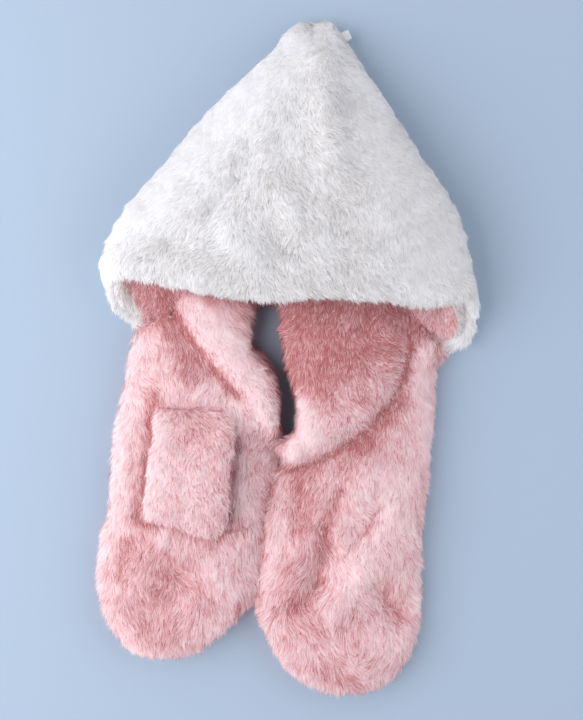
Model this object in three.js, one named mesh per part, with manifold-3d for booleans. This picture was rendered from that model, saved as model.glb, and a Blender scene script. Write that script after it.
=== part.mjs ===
// A plush hooded scarf lying flat on its back: a white fur hood puffed up over its hollow, a pink fur lining
// inside it, a pink fur scarf whose two tails hang from the chin corners, a pull-through loop band on the
// left tail and a small blank tag beside the peak. Millimetres, +Z up, +Y towards the peak, resting on Z = 0.
import * as THREE from "three";
import { mergeVertices } from "three/addons/utils/BufferGeometryUtils.js";
import Module from "manifold-3d";

const wasm = await Module();
wasm.setup();

// The hood
const hoodWidth = 382; // from chin corner to chin corner
const hoodHeight = 280; // from the peak to the middle of the brim
const hoodRise = 82; // height of the puffed hood above the floor
const shellWall = 15; // white fur cloth with its pile
const liningWall = 8; // pink fur cloth
const liningSetback = 10; // the lining's rim behind the white rim
const chinDrop = 44; // lower rim below the brim line at the chin corners
const neckArch = 61; // lower rim above the brim line at the nape
const peakNotch = 7; // notch between the two lobes of the peak, where the top seam ends
const notchLength = 14; // how far the notch reaches down the hood
const seamDepth = 4; // groove of the top seam below the notch
const seamWidth = 5.5; // half the groove's width
const seamLength = 30; // how far the groove reaches down the hood

// The scarf
const tailWidth = 166;
const tailGap = 4; // between the two tails
const tailLength = 397; // from the brim line to the end of the longer tail
const tailThick = 34;
const foldRise = 12; // rolled edge on the left tail above the tail
const lapelRise = 16; // turned over lapel on the right tail above the tail

// The loop band on the left tail
const loopWidth = 80;
const loopLength = 124;
const loopWall = 11;
const loopRoom = 10; // free height under the band, for the other tail

// The tag
const tagWidth = 9;
const tagLength = 15;
const tagThick = 1.4;

const lockRise = 3; // how far a lock of fur stands out of the surface around it
const clearance = 0.4; // between pieces that touch

// How finely the hood's walls are cut: round the top and the underside of a section, and along the two sides
const hoodColumns = 28;
const hoodColumnsUnder = 16;
const outerRows = 26;
const innerRows = 10;

// The hood from the peak to the mouth. down is a share of hoodHeight from the peak, left and right are shares
// of hoodWidth from the left chin corner, rise is a share of hoodRise, and crown is where the section is
// highest, from -1 at its left edge to 1 at its right edge.
const hoodRows = [
  { down: 0.01, left: 0.53, right: 0.605, rise: 0.26, crown: 0 },
  { down: 0.035, left: 0.487, right: 0.628, rise: 0.36, crown: 0.05 },
  { down: 0.075, left: 0.466, right: 0.654, rise: 0.46, crown: 0.08 },
  { down: 0.13, left: 0.427, right: 0.681, rise: 0.57, crown: 0.12 },
  { down: 0.2, left: 0.377, right: 0.71, rise: 0.68, crown: 0.2 },
  { down: 0.28, left: 0.314, right: 0.75, rise: 0.78, crown: 0.25 },
  { down: 0.39, left: 0.24, right: 0.8, rise: 0.88, crown: 0.27 },
  { down: 0.5, left: 0.176, right: 0.853, rise: 0.95, crown: 0.24 },
  { down: 0.6, left: 0.114, right: 0.912, rise: 1, crown: 0.18 },
  { down: 0.69, left: 0.066, right: 0.948, rise: 1, crown: 0.12 },
  { down: 0.78, left: 0.028, right: 0.971, rise: 0.97, crown: 0.06 },
  { down: 0.86, left: 0.003, right: 0.985, rise: 0.93, crown: 0.02 },
  { down: 0.945, left: 0.006, right: 0.9985, rise: 0.87, crown: 0 },
];

// The rim of the mouth, round the face. across is a share of hoodWidth. upper is the brim above the brim line,
// as a share of hoodHeight. lower is the rim of the back layer: above zero it hangs below the brim line as a
// share of chinDrop, below zero it lies above it as a share of neckArch.
const rimRows = [
  { across: 0, upper: 0.08, lower: -0.37 },
  { across: 0.015, upper: 0.082, lower: -0.2 },
  { across: 0.04, upper: 0.09, lower: 0.02 },
  { across: 0.08, upper: 0.092, lower: 0.34 },
  { across: 0.13, upper: 0.082, lower: 0.53 },
  { across: 0.18, upper: 0.067, lower: 0.5 },
  { across: 0.26, upper: 0.048, lower: 0.05 },
  { across: 0.35, upper: 0.025, lower: -0.48 },
  { across: 0.44, upper: 0.014, lower: -0.95 },
  { across: 0.53, upper: 0.02, lower: -1 },
  { across: 0.62, upper: 0.018, lower: -0.7 },
  { across: 0.72, upper: 0.011, lower: -0.18 },
  { across: 0.82, upper: -0.004, lower: 0.58 },
  { across: 0.89, upper: 0, lower: 1 },
  { across: 0.95, upper: 0.007, lower: 0.88 },
  { across: 0.985, upper: -0.016, lower: 0.6 },
  { across: 1, upper: -0.046, lower: 0.3 },
];

// Folds and dents of the hood's top: from one place to another in shares of hoodWidth and hoodHeight, wide as
// a share of hoodWidth, rise as a share of hoodRise.
const hoodFolds = [
  { across: 0.579, down: 0.12, toAcross: 0.594, toDown: 0.37, wide: 0.035, rise: 0.07 },
  { across: 0.594, down: 0.37, toAcross: 0.615, toDown: 0.53, wide: 0.05, rise: 0.05 },
  { across: 0.406, down: 0.49, toAcross: 0.314, toDown: 0.67, wide: 0.035, rise: -0.07 },
  { across: 0.165, down: 0.79, toAcross: 0.2, toDown: 0.82, wide: 0.045, rise: -0.07 },
  { across: 0.458, down: 0.79, toAcross: 0.5, toDown: 0.82, wide: 0.04, rise: -0.05 },
  { across: 0.13, down: 0.64, toAcross: 0.17, toDown: 0.67, wide: 0.04, rise: -0.05 },
  { across: 0.34, down: 0.73, toAcross: 0.406, toDown: 0.82, wide: 0.035, rise: 0.05 },
  { across: 0.47, down: 0.62, toAcross: 0.52, toDown: 0.76, wide: 0.035, rise: 0.04 },
  { across: 0.75, down: 0.69, toAcross: 0.78, toDown: 0.74, wide: 0.06, rise: 0.05 },
  { across: 0.24, down: 0.68, toAcross: 0.26, toDown: 0.74, wide: 0.05, rise: 0.05 },
];

// The scarf as one strip from the end of the left tail, round the nape, to the end of the right tail. Each
// row runs from the strip's outer edge to its inner edge. Tail rows are shares of the two tails' joint width,
// from the middle, and of tailLength below the brim line. thick is a share of tailThick.
const leftTailRows = [
  { outX: -0.429, outDown: 0.898, inX: -0.333, inDown: 0.897, thick: 0.5 },
  { outX: -0.482, outDown: 0.879, inX: -0.253, inDown: 0.873, thick: 0.8 },
  { outX: -0.53, outDown: 0.836, inX: -0.179, inDown: 0.819, thick: 0.94 },
  { outX: -0.5625, outDown: 0.776, inX: -0.125, inDown: 0.773, thick: 1 },
  { outX: -0.579, outDown: 0.698, inX: -0.098, inDown: 0.713, thick: 1 },
  { outX: -0.574, outDown: 0.632, inX: -0.083, inDown: 0.642, thick: 1 },
  { outX: -0.554, outDown: 0.557, inX: -0.0755, inDown: 0.562, thick: 1 },
  { outX: -0.54, outDown: 0.476, inX: -0.07, inDown: 0.486, thick: 1 },
  { outX: -0.534, outDown: 0.395, inX: -0.05, inDown: 0.411, thick: 1 },
  { outX: -0.521, outDown: 0.31, inX: -0.029, inDown: 0.34, thick: 1 },
  { outX: -0.503, outDown: 0.229, inX: -0.027, inDown: 0.264, thick: 1 },
  { outX: -0.485, outDown: 0.156, inX: -0.0535, inDown: 0.179, thick: 0.97 },
  { outX: -0.473, outDown: 0.101, inX: -0.101, inDown: 0.113, thick: 0.94 },
  { outX: -0.455, outDown: 0.065, inX: -0.113, inDown: 0.063, thick: 0.93 },
];

// The strip round the nape, hidden under the brim, in shares of hoodWidth and hoodHeight as the hood's rows.
const napeRows = [
  { outX: 0.15, outDown: 1.045, inX: 0.403, inDown: 1.032, thick: 0.88 },
  { outX: 0.2, outDown: 0.945, inX: 0.411, inDown: 1.007, thick: 0.88 },
  { outX: 0.29, outDown: 0.845, inX: 0.421, inDown: 0.996, thick: 0.88 },
  { outX: 0.4, outDown: 0.77, inX: 0.4345, inDown: 0.991, thick: 0.88 },
  { outX: 0.5, outDown: 0.74, inX: 0.448, inDown: 0.989, thick: 0.88 },
  { outX: 0.61, outDown: 0.77, inX: 0.458, inDown: 0.993, thick: 0.88 },
  { outX: 0.73, outDown: 0.85, inX: 0.469, inDown: 1.004, thick: 0.88 },
  { outX: 0.835, outDown: 0.955, inX: 0.474, inDown: 1.032, thick: 0.88 },
  { outX: 0.895, outDown: 1.06, inX: 0.476, inDown: 1.086, thick: 0.93 },
];

const rightTailRows = [
  { outX: 0.476, outDown: 0.105, inX: -0.021, inDown: 0.111, thick: 0.94 },
  { outX: 0.446, outDown: 0.154, inX: -0.009, inDown: 0.179, thick: 0.96 },
  { outX: 0.4315, outDown: 0.2115, inX: 0.009, inDown: 0.237, thick: 0.98 },
  { outX: 0.4345, outDown: 0.2795, inX: 0.021, inDown: 0.295, thick: 0.98 },
  { outX: 0.4225, outDown: 0.345, inX: 0.003, inDown: 0.35, thick: 1 },
  { outX: 0.4165, outDown: 0.4155, inX: -0.021, inDown: 0.4105, thick: 1 },
  { outX: 0.4075, outDown: 0.494, inX: -0.0545, inDown: 0.486, thick: 1 },
  { outX: 0.396, outDown: 0.567, inX: -0.0605, inDown: 0.562, thick: 1 },
  { outX: 0.393, outDown: 0.642, inX: -0.069, inDown: 0.632, thick: 1 },
  { outX: 0.393, outDown: 0.718, inX: -0.082, inDown: 0.708, thick: 1 },
  { outX: 0.39, outDown: 0.783, inX: -0.101, inDown: 0.776, thick: 1 },
  { outX: 0.375, outDown: 0.859, inX: -0.0685, inDown: 0.846, thick: 1 },
  { outX: 0.342, outDown: 0.922, inX: -0.024, inDown: 0.917, thick: 0.88 },
  { outX: 0.292, outDown: 0.962, inX: 0.033, inDown: 0.957, thick: 0.76 },
  { outX: 0.22, outDown: 0.989, inX: 0.104, inDown: 0.989, thick: 0.48 },
];

// Folds and dents of the tails' top, in tail shares, wide as a share of tailWidth, rise of tailThick.
const tailFolds = [
  { across: 0.247, down: 0.413, toAcross: 0.098, toDown: 0.56, wide: 0.09, rise: 0.16 },
  { across: 0.098, down: 0.577, toAcross: 0.09, toDown: 0.715, wide: 0.08, rise: -0.2 },
  { across: 0.378, down: 0.51, toAcross: 0.16, toDown: 0.746, wide: 0.09, rise: 0.16 },
  { across: 0.28, down: 0.745, toAcross: 0.3, toDown: 0.76, wide: 0.1, rise: -0.2 },
  { across: 0.0, down: 0.765, toAcross: 0.03, toDown: 0.75, wide: 0.08, rise: -0.16 },
  { across: -0.36, down: 0.7, toAcross: -0.35, toDown: 0.72, wide: 0.12, rise: -0.18 },
  { across: -0.44, down: 0.775, toAcross: -0.42, toDown: 0.79, wide: 0.09, rise: -0.12 },
  { across: -0.2, down: 0.665, toAcross: -0.165, toDown: 0.73, wide: 0.08, rise: 0.15 },
  { across: -0.21, down: 0.574, toAcross: -0.13, toDown: 0.557, wide: 0.05, rise: -0.14 },
  { across: -0.43, down: 0.222, toAcross: -0.38, toDown: 0.237, wide: 0.06, rise: 0.12 },
];

// The rolled inner edge of the left tail, from the brim to where it sinks into the tail. The first row of the
// roll and of the lapel lies under the brim and is in hood shares. top is a share of the roll's full height.
const rollHiddenRow = { outX: 0.191, outDown: 0.94, inX: 0.393, inDown: 0.96, top: 0.76 };
const rollRows = [
  { outX: -0.345, outDown: 0.0075, inX: -0.107, inDown: 0.005, top: 0.88 },
  { outX: -0.3185, outDown: 0.0655, inX: -0.1145, inDown: 0.068, top: 0.98 },
  { outX: -0.277, outDown: 0.126, inX: -0.101, inDown: 0.121, top: 1 },
  { outX: -0.223, outDown: 0.184, inX: -0.0565, inDown: 0.166, top: 0.98 },
  { outX: -0.167, outDown: 0.2265, inX: -0.033, inDown: 0.219, top: 0.95 },
  { outX: -0.116, outDown: 0.267, inX: -0.027, inDown: 0.272, top: 0.9 },
  { outX: -0.077, outDown: 0.31, inX: -0.028, inDown: 0.325, top: 0.82 },
  { outX: -0.0535, outDown: 0.34, inX: -0.033, inDown: 0.35, top: 0.72 },
];

// The lapel turned over the right tail, from the brim to its tip at the inner edge.
const lapelHiddenRow = { outX: 0.4685, outDown: 0.95, inX: 0.798, inDown: 0.96, top: 0.7 };
const lapelRows = [
  { outX: -0.031, outDown: 0.0075, inX: 0.345, inDown: 0.015, top: 0.82 },
  { outX: -0.03, outDown: 0.0605, inX: 0.354, inDown: 0.0605, top: 0.95 },
  { outX: -0.018, outDown: 0.1285, inX: 0.342, inDown: 0.1185, top: 1 },
  { outX: -0.003, outDown: 0.194, inX: 0.3275, inDown: 0.1865, top: 1 },
  { outX: 0.018, outDown: 0.254, inX: 0.28, inDown: 0.267, top: 0.97 },
  { outX: 0.021, outDown: 0.305, inX: 0.1785, inDown: 0.3325, top: 0.93 },
  { outX: 0.003, outDown: 0.335, inX: 0.089, inDown: 0.375, top: 0.87 },
  { outX: -0.015, outDown: 0.358, inX: 0.033, inDown: 0.399, top: 0.8 },
  { outX: -0.021, outDown: 0.37, inX: 0, inDown: 0.399, top: 0.7 },
];

// The loop band from its top seam to its bottom seam: places from the band's middle in shares of loopWidth
// and loopLength, and lift, the band's underside above the tail as a share of loopRoom.
const loopRows = [
  { outX: -0.4, outDown: -0.505, inX: 0.485, inDown: -0.465, lift: -0.4 },
  { outX: -0.43, outDown: -0.4, inX: 0.55, inDown: -0.35, lift: 0.3 },
  { outX: -0.45, outDown: -0.22, inX: 0.575, inDown: -0.17, lift: 0.9 },
  { outX: -0.49, outDown: -0.05, inX: 0.51, inDown: 0.0, lift: 1.05 },
  { outX: -0.53, outDown: 0.14, inX: 0.485, inDown: 0.2, lift: 1 },
  { outX: -0.56, outDown: 0.29, inX: 0.5, inDown: 0.39, lift: 0.5 },
  { outX: -0.59, outDown: 0.375, inX: 0.34, inDown: 0.57, lift: -0.3 },
];
const loopMiddle = { across: -0.298, down: 0.418 }; // on the left tail, in tail shares
const tagRoot = { across: 0.638, down: 0.055 }; // on the hood's right edge, in hood shares
const tagTurn = 32; // degrees above +X
const seamAcross = 0.563; // the top seam's place, in hood shares
const stretchFrom = 0.46; // below this share of hoodHeight the hood's rows spread towards the curved rim

const tailSpan = 2 * tailWidth + tailGap;
const hoodPlace = (across, down) => new THREE.Vector2((across - 0.5) * hoodWidth, (1 - down) * hoodHeight);
const tailPlace = (across, down) => new THREE.Vector2(across * tailSpan, -down * tailLength);

// The value of one column of a table at a station of its key column, on a smooth curve through the rows.
function smooth(rows, key, name, at) {
  const last = rows.length - 1;
  const found = rows.findIndex((row) => row[key] >= at);
  const next = found < 0 ? last : Math.max(found, 1);
  const slope = (i) => {
    const before = rows[Math.max(i - 1, 0)];
    const after = rows[Math.min(i + 1, last)];
    return (after[name] - before[name]) / (after[key] - before[key]);
  };
  const from = rows[next - 1];
  const to = rows[next];
  const span = to[key] - from[key];
  const t = Math.min(Math.max((at - from[key]) / span, 0), 1);
  const start = (1 + 2 * t) * (1 - t) ** 2 * from[name] + t * (1 - t) ** 2 * span * slope(next - 1);
  return start + t * t * (3 - 2 * t) * to[name] + t * t * (t - 1) * span * slope(next);
}

// One place on the top of a puffed section: across from -1 to 1 and height from 0 to 1, at an angle from the
// right edge. A fullness of 2 is an ellipse, and more is boxier.
function overPlace(angle, crown, fullness) {
  const ease = (value) => Math.sign(value) * Math.abs(value) ** (2 / fullness);
  const swing = ease(Math.cos(angle));
  return new THREE.Vector2(crown + (swing > 0 ? 1 - crown : 1 + crown) * swing, ease(Math.sin(angle)));
}

// The angles that cut the top of a section into equal lengths.
function evenAngles(half, rise, crown, fullness, steps) {
  const fine = 90;
  const angles = Array.from({ length: fine + 1 }, (_, i) => (Math.PI * i) / fine);
  const size = new THREE.Vector2(half, rise);
  const line = angles.map((angle) => overPlace(angle, crown, fullness).multiply(size));
  const lengths = line.map(() => 0);
  for (let i = 1; i <= fine; i += 1) lengths[i] = lengths[i - 1] + line[i].distanceTo(line[i - 1]);
  return Array.from({ length: steps + 1 }, (_, step) => {
    const wanted = (lengths[fine] * step) / steps;
    const i = Math.max(1, lengths.findIndex((length) => length >= wanted - 1e-9));
    return angles[i - 1] + ((wanted - lengths[i - 1]) / (lengths[i] - lengths[i - 1])) * (Math.PI / fine);
  });
}

// A puffed section in millimetres, inset from the one whose sizes are given, so that insets nest in each
// other. It runs over the top from right to left and back underneath, which is flat between round corners.
function puffedSection({ half, base, top, crown, fullness, over, under, inset, baseInset = inset }) {
  const edgeShare = 0.4;
  const edge = (low, high) => low + edgeShare * (high - low);
  const angles = evenAngles(half, top - edge(base, top), crown, fullness, over);
  const low = base + baseInset;
  const high = top - inset;
  const width = half - inset;
  const section = angles.map((angle) => {
    const { x, y } = overPlace(angle, crown, fullness);
    return { across: x, height: edge(low, high) + (high - edge(low, high)) * y, isOver: true };
  });
  const drop = edge(low, high) - low;
  const corner = Math.min(drop, 0.6 * width);
  const turns = [1, 2, 3].map((turn) => (Math.PI / 2) * (turn / 3));
  const flatSteps = under - 2 * turns.length;
  const rounded = turns.map((angle) => ({
    across: 1 - (corner * (1 - Math.cos(angle))) / width,
    height: edge(low, high) - drop * Math.sin(angle),
    isOver: false,
  }));
  section.push(...rounded.map((place) => ({ ...place, across: -place.across })));
  for (let step = 1; step < flatSteps; step += 1) {
    const share = -Math.cos((Math.PI * step) / flatSteps);
    section.push({ across: (1 - corner / width) * share, height: low, isOver: false });
  }
  section.push(...rounded.reverse());
  return section;
}

// How far the folds and dents in a table lift the surface at a point. place is the frame they are given in.
function foldLift(folds, place, widthUnit, riseUnit, point) {
  let lift = 0;
  for (const fold of folds) {
    const from = place(fold.across, fold.down);
    const along = place(fold.toAcross, fold.toDown).sub(from);
    const offset = point.clone().sub(from);
    const share = Math.min(Math.max(offset.dot(along) / along.lengthSq(), 0), 1);
    const away = offset.sub(along.multiplyScalar(share)).length() / (fold.wide * widthUnit);
    lift += fold.rise * riseUnit * Math.exp(-away * away);
  }
  return lift;
}

// Locks of fur lie in staggered rows: each stands out at its tip and sinks where the next one starts.
function lockLift(row, columnIndex) {
  const isTip = (row + Math.floor(columnIndex / 2)) % 2 === 0;
  const isMiddle = columnIndex % 2 === 0;
  return lockRise * (isTip ? 1 : -0.4) * (isMiddle ? 1 : 0.45);
}

// A closed body through rings of points that all have the same count, with a fan over each end. Each
// four-sided patch is cut along its shorter diagonal, so that bodies nested in each other are cut alike.
function ringBody(rings) {
  const count = rings[0].length;
  const points = rings.flat();
  const faces = [];
  for (let i = 0; i + 1 < rings.length; i += 1) {
    for (let j = 0; j < count; j += 1) {
      const a = i * count + j;
      const b = i * count + ((j + 1) % count);
      const isShorter = points[a].distanceTo(points[b + count]) < points[b].distanceTo(points[a + count]);
      if (isShorter) faces.push([a, b, b + count], [a, b + count, a + count]);
      else faces.push([a, b, a + count], [b, b + count, a + count]);
    }
  }
  for (const [ring, turned] of [[0, true], [rings.length - 1, false]]) {
    const middle = new THREE.Vector3();
    rings[ring].forEach((point) => middle.addScaledVector(point, 1 / count));
    points.push(middle);
    for (let j = 0; j < count; j += 1) {
      const a = ring * count + j;
      const b = ring * count + ((j + 1) % count);
      faces.push(turned ? [b, a, points.length - 1] : [a, b, points.length - 1]);
    }
  }
  let volume = 0;
  for (const [a, b, c] of faces) volume += points[a].dot(points[b].clone().cross(points[c]));
  const outward = volume < 0 ? faces.map(([a, b, c]) => [a, c, b]) : faces;
  const numbers = points.flatMap((point) => [point.x, point.y, point.z]);
  const geometry = new THREE.BufferGeometry();
  geometry.setAttribute("position", new THREE.Float32BufferAttribute(numbers, 3));
  geometry.setIndex(outward.flat());
  return geometry;
}

function toSolid(geometry) {
  const bare = geometry.clone();
  bare.deleteAttribute("normal");
  bare.deleteAttribute("uv");
  const merged = mergeVertices(bare);
  const vertProperties = new Float32Array(merged.getAttribute("position").array);
  const triVerts = new Uint32Array(merged.getIndex().array);
  return new wasm.Manifold(new wasm.Mesh({ numProp: 3, vertProperties, triVerts }));
}

function toGeometry(solid) {
  const mesh = solid.getMesh();
  const geometry = new THREE.BufferGeometry();
  geometry.setAttribute("position", new THREE.Float32BufferAttribute(mesh.vertProperties, 3));
  geometry.setIndex(Array.from(mesh.triVerts));
  geometry.computeVertexNormals();
  return geometry;
}

const mouthDown = hoodRows.at(-1).down;

// The place of the mouth's rim at one place across, as a share of hoodHeight below the peak.
function rimDown(across, isOver) {
  const at = Math.min(Math.max(across, 0), 1);
  if (isOver) return 1 - smooth(rimRows, "across", "upper", at);
  const lower = smooth(rimRows, "across", "lower", at);
  return 1 + (lower * (lower > 0 ? chinDrop : neckArch)) / hoodHeight;
}

// One ring of the hood, at a share of the way from the peak to the mouth, that far inside its outer surface.
function hoodRing(share, inset, columns, lockRow) {
  const down = hoodRows[0].down + share * (mouthDown - hoodRows[0].down);
  const names = ["left", "right", "rise", "crown"];
  const [left, right, rise, crown] = names.map((name) => smooth(hoodRows, "down", name, down));
  const half = ((right - left) * hoodWidth) / 2;
  const baseInset = Math.max(inset, 0);
  const section = puffedSection({
    half, base: 0, top: rise * hoodRise, crown, fullness: 2.1, inset, baseInset, ...columns,
  });
  const spread = Math.max(0, (down - stretchFrom) / (mouthDown - stretchFrom));
  const seamX = hoodPlace(seamAcross, 0).x;
  const fromPeak = (down - hoodRows[0].down) * hoodHeight;
  const lockScale = Math.min(1, half / (4 * lockRise * columns.over / 6));
  return section.map(({ across, height, isOver }, j) => {
    const x = hoodPlace((left + right) / 2, 0).x + across * (half - inset);
    const shareAcross = x / hoodWidth + 0.5;
    const rim = stretchFrom + (rimDown(shareAcross, isOver) - stretchFrom) * spread;
    const onSeam = Math.exp(-(((x - seamX) / seamWidth) ** 2));
    const lobeRise = 0.45; // of the notch's depth stands above the peak, on either side
    const notch = peakNotch * (lobeRise - onSeam) * Math.exp(-fromPeak / notchLength);
    const y = hoodPlace(0, spread > 0 ? rim : down).y + notch;
    let z = height;
    if (isOver) {
      const bulge = Math.max(0, 1 - across * across);
      z += bulge * foldLift(hoodFolds, hoodPlace, hoodWidth, hoodRise, new THREE.Vector2(x, y));
      z -= seamDepth * onSeam * Math.exp(-fromPeak / seamLength) * bulge;
    }
    const point = new THREE.Vector3(x, y, z);
    if (lockRow !== null && isOver) {
      const lift = lockScale * lockLift(lockRow, j);
      const lean = Math.abs(across) ** 3;
      point.x += Math.sign(across) * lift * lean;
      point.z += lift * (1 - 0.8 * lean);
    }
    return point;
  });
}

// The shares of the way to the mouth where one side of a wall has its rings. All inner sides use the same
// ones, the lining's rim among them.
function stationsBetween(start, mouth, rows) {
  const evenShares = Array.from({ length: rows - 1 }, (_, i) => (i + 1) / rows);
  const inside = [...evenShares, 1 - liningSetback / hoodHeight];
  const room = 0.2 / rows;
  return [start, ...inside.filter((share) => share > start + room && share < mouth - room), mouth];
}

// A wall of the hood between two insets: down its outer side to the mouth, round the rim, up its inner side.
function hoodWall({ outer, inner, setback, rows, hasLocks }) {
  const columns = { over: hoodColumns, under: hoodColumnsUnder };
  const mouth = 1 - setback / hoodHeight;
  const peakShare = 0.03;
  const peakSlope = 2.856; // the hood narrows to its peak, so an inset wall closes this much further down
  const depth = (inset) => (inset > 0 ? peakShare + (inset * peakSlope) / hoodHeight : 0);
  const outerRings = stationsBetween(depth(outer), mouth, rows).map((share, i) =>
    hoodRing(share, outer, columns, hasLocks && share < mouth ? i : null));
  const edge = outerRings.at(-1);
  const before = outerRings.at(-2);
  const forward = edge.map((point, j) => point.clone().sub(before[j]).setZ(0).normalize());
  const wall = inner - outer;
  const rimRings = [0.25, 0.5, 0.75].map((turn) => {
    const inset = outer + (wall * (1 - Math.cos(Math.PI * turn))) / 2;
    const reach = 0.45 * wall * Math.sin(Math.PI * turn);
    return hoodRing(mouth, inset, columns, null).map((point, j) => point.addScaledVector(forward[j], reach));
  });
  const innerRings = stationsBetween(depth(inner), mouth, innerRows).map((share) =>
    hoodRing(share, inner, columns, null));
  return ringBody([...outerRings, ...rimRings, ...innerRings.reverse()]);
}

// A puffed body through rows that each run from one edge to the other in plan, grown outwards by a clearance.
function bolster({ rows, stepsPerRow, over, under, fullness, grow = 0, folds = false, hasLocks = true }) {
  const stations = rows.map((row, at) => ({ ...row, at }));
  const rings = [];
  const count = (rows.length - 1) * stepsPerRow;
  for (let i = 0; i <= count; i += 1) {
    const value = (name) => smooth(stations, "at", name, i / stepsPerRow);
    const from = new THREE.Vector2(value("outX"), value("outY"));
    const to = new THREE.Vector2(value("inX"), value("inY"));
    const half = to.distanceTo(from) / 2;
    const middle = from.clone().add(to).multiplyScalar(0.5);
    const sideways = to.clone().sub(from).normalize();
    const section = puffedSection({
      half, base: value("base"), top: value("top"), crown: 0, fullness, over, under, inset: -grow,
    });
    const past = i === 0 ? 1 : i === count ? -1 : 0;
    middle.addScaledVector(new THREE.Vector2(-sideways.y, sideways.x), -past * grow);
    rings.push(section.map(({ across, height, isOver }, j) => {
      const plan = middle.clone().addScaledVector(sideways, across * (half + grow));
      let z = height;
      const bulge = Math.max(0, 1 - across * across);
      if (isOver && folds) z += Math.sqrt(bulge) * foldLift(tailFolds, tailPlace, tailWidth, tailThick, plan);
      if (isOver && hasLocks && past === 0) z += Math.sqrt(bulge) * lockLift(i, j);
      return new THREE.Vector3(plan.x, plan.y, z);
    }));
  }
  return toSolid(ringBody(rings));
}

// A table row in plan: its outer and inner ends placed in the frame that its shares are given in.
function placed(row, place, heights) {
  const from = place(row.outX, row.outDown);
  const to = place(row.inX, row.inDown);
  return { outX: from.x, outY: from.y, inX: to.x, inY: to.y, ...heights(row) };
}

function scarfBodies(grow) {
  const flat = (row) => ({ base: 0, top: row.thick * tailThick });
  const strip = bolster({
    rows: [
      ...leftTailRows.map((row) => placed(row, tailPlace, flat)),
      ...napeRows.map((row) => placed(row, hoodPlace, flat)),
      ...rightTailRows.map((row) => placed(row, tailPlace, flat)),
    ],
    stepsPerRow: 2,
    over: 16,
    under: 6,
    fullness: 2.5,
    folds: true,
    grow,
  });
  const sunk = 0.3 * tailThick;
  const turnedOver = (hiddenRow, rows, rise) => {
    const heights = (row) => ({ base: sunk, top: row.top * (tailThick + rise) });
    return [placed(hiddenRow, hoodPlace, heights), ...rows.map((row) => placed(row, tailPlace, heights))];
  };
  const roll = bolster({
    rows: turnedOver(rollHiddenRow, rollRows, foldRise),
    stepsPerRow: 2,
    over: 10,
    under: 4,
    fullness: 2.2,
    grow,
  });
  const lapel = bolster({
    rows: turnedOver(lapelHiddenRow, lapelRows, lapelRise),
    stepsPerRow: 2,
    over: 14,
    under: 4,
    fullness: 2.4,
    grow,
  });
  return strip.add(roll).add(lapel);
}

function makeShell(grow) {
  return hoodWall({ outer: -grow, inner: shellWall + grow, setback: -grow, rows: outerRows, hasLocks: true });
}

function makeLining(grow) {
  const outer = shellWall + clearance - grow;
  const inner = shellWall + clearance + liningWall + grow;
  return hoodWall({ outer, inner, setback: liningSetback - grow, rows: innerRows, hasLocks: false });
}

function makeScarf() {
  return scarfBodies(0).subtract(toSolid(makeShell(clearance))).subtract(toSolid(makeLining(clearance)));
}

function makeLoop() {
  const middle = tailPlace(loopMiddle.across, loopMiddle.down);
  const place = (across, down) =>
    new THREE.Vector2(middle.x + across * loopWidth, middle.y - down * loopLength);
  const heights = (row) => {
    const base = tailThick + row.lift * loopRoom;
    return { base, top: base + loopWall };
  };
  const band = bolster({
    rows: loopRows.map((row) => placed(row, place, heights)),
    stepsPerRow: 2,
    over: 10,
    under: 6,
    fullness: 3.2,
  });
  return band.subtract(scarfBodies(clearance));
}

function makeTag() {
  const root = hoodPlace(tagRoot.across, tagRoot.down);
  const seamHeight = 0.4 * smooth(hoodRows, "down", "rise", tagRoot.down) * hoodRise;
  const plate = new THREE.BoxGeometry(tagLength, tagWidth, tagThick);
  plate.translate(0.1 * tagLength, 0, 0);
  plate.rotateZ(THREE.MathUtils.degToRad(tagTurn));
  plate.translate(root.x, root.y, seamHeight);
  return toSolid(plate).subtract(toSolid(makeShell(clearance)));
}

const whiteFur = new THREE.MeshStandardMaterial({ color: 0xeeecea, roughness: 0.95, metalness: 0 });
const pinkLining = new THREE.MeshStandardMaterial({ color: 0xe3aeb2, roughness: 0.95, metalness: 0 });
const pinkFur = new THREE.MeshStandardMaterial({ color: 0xeabcc0, roughness: 0.95, metalness: 0 });
const loopFur = new THREE.MeshStandardMaterial({ color: 0xe6b6bb, roughness: 0.95, metalness: 0 });
const tagCloth = new THREE.MeshStandardMaterial({ color: 0xf6f6f4, roughness: 0.8, metalness: 0 });

function piece(name, geometry, material) {
  const mesh = new THREE.Mesh(geometry, material);
  mesh.name = name;
  return mesh;
}

const hoodedScarf = new THREE.Group();
hoodedScarf.add(
  piece("hood_shell", makeShell(0), whiteFur),
  piece("hood_lining", makeLining(0), pinkLining),
  piece("scarf", toGeometry(makeScarf()), pinkFur),
  piece("scarf_loop", toGeometry(makeLoop()), loopFur),
  piece("seam_label", toGeometry(makeTag()), tagCloth),
);

// The origin is the middle of the footprint, on the floor.
const box = new THREE.Box3().setFromObject(hoodedScarf);
const centre = box.getCenter(new THREE.Vector3());
hoodedScarf.position.set(-centre.x, -centre.y, 0);

export default hoodedScarf;
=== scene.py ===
import math
from collections import namedtuple

import bpy
import numpy as np
from mathutils import Matrix, Vector
from mathutils.bvhtree import BVHTree
from mathutils.kdtree import KDTree


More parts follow.
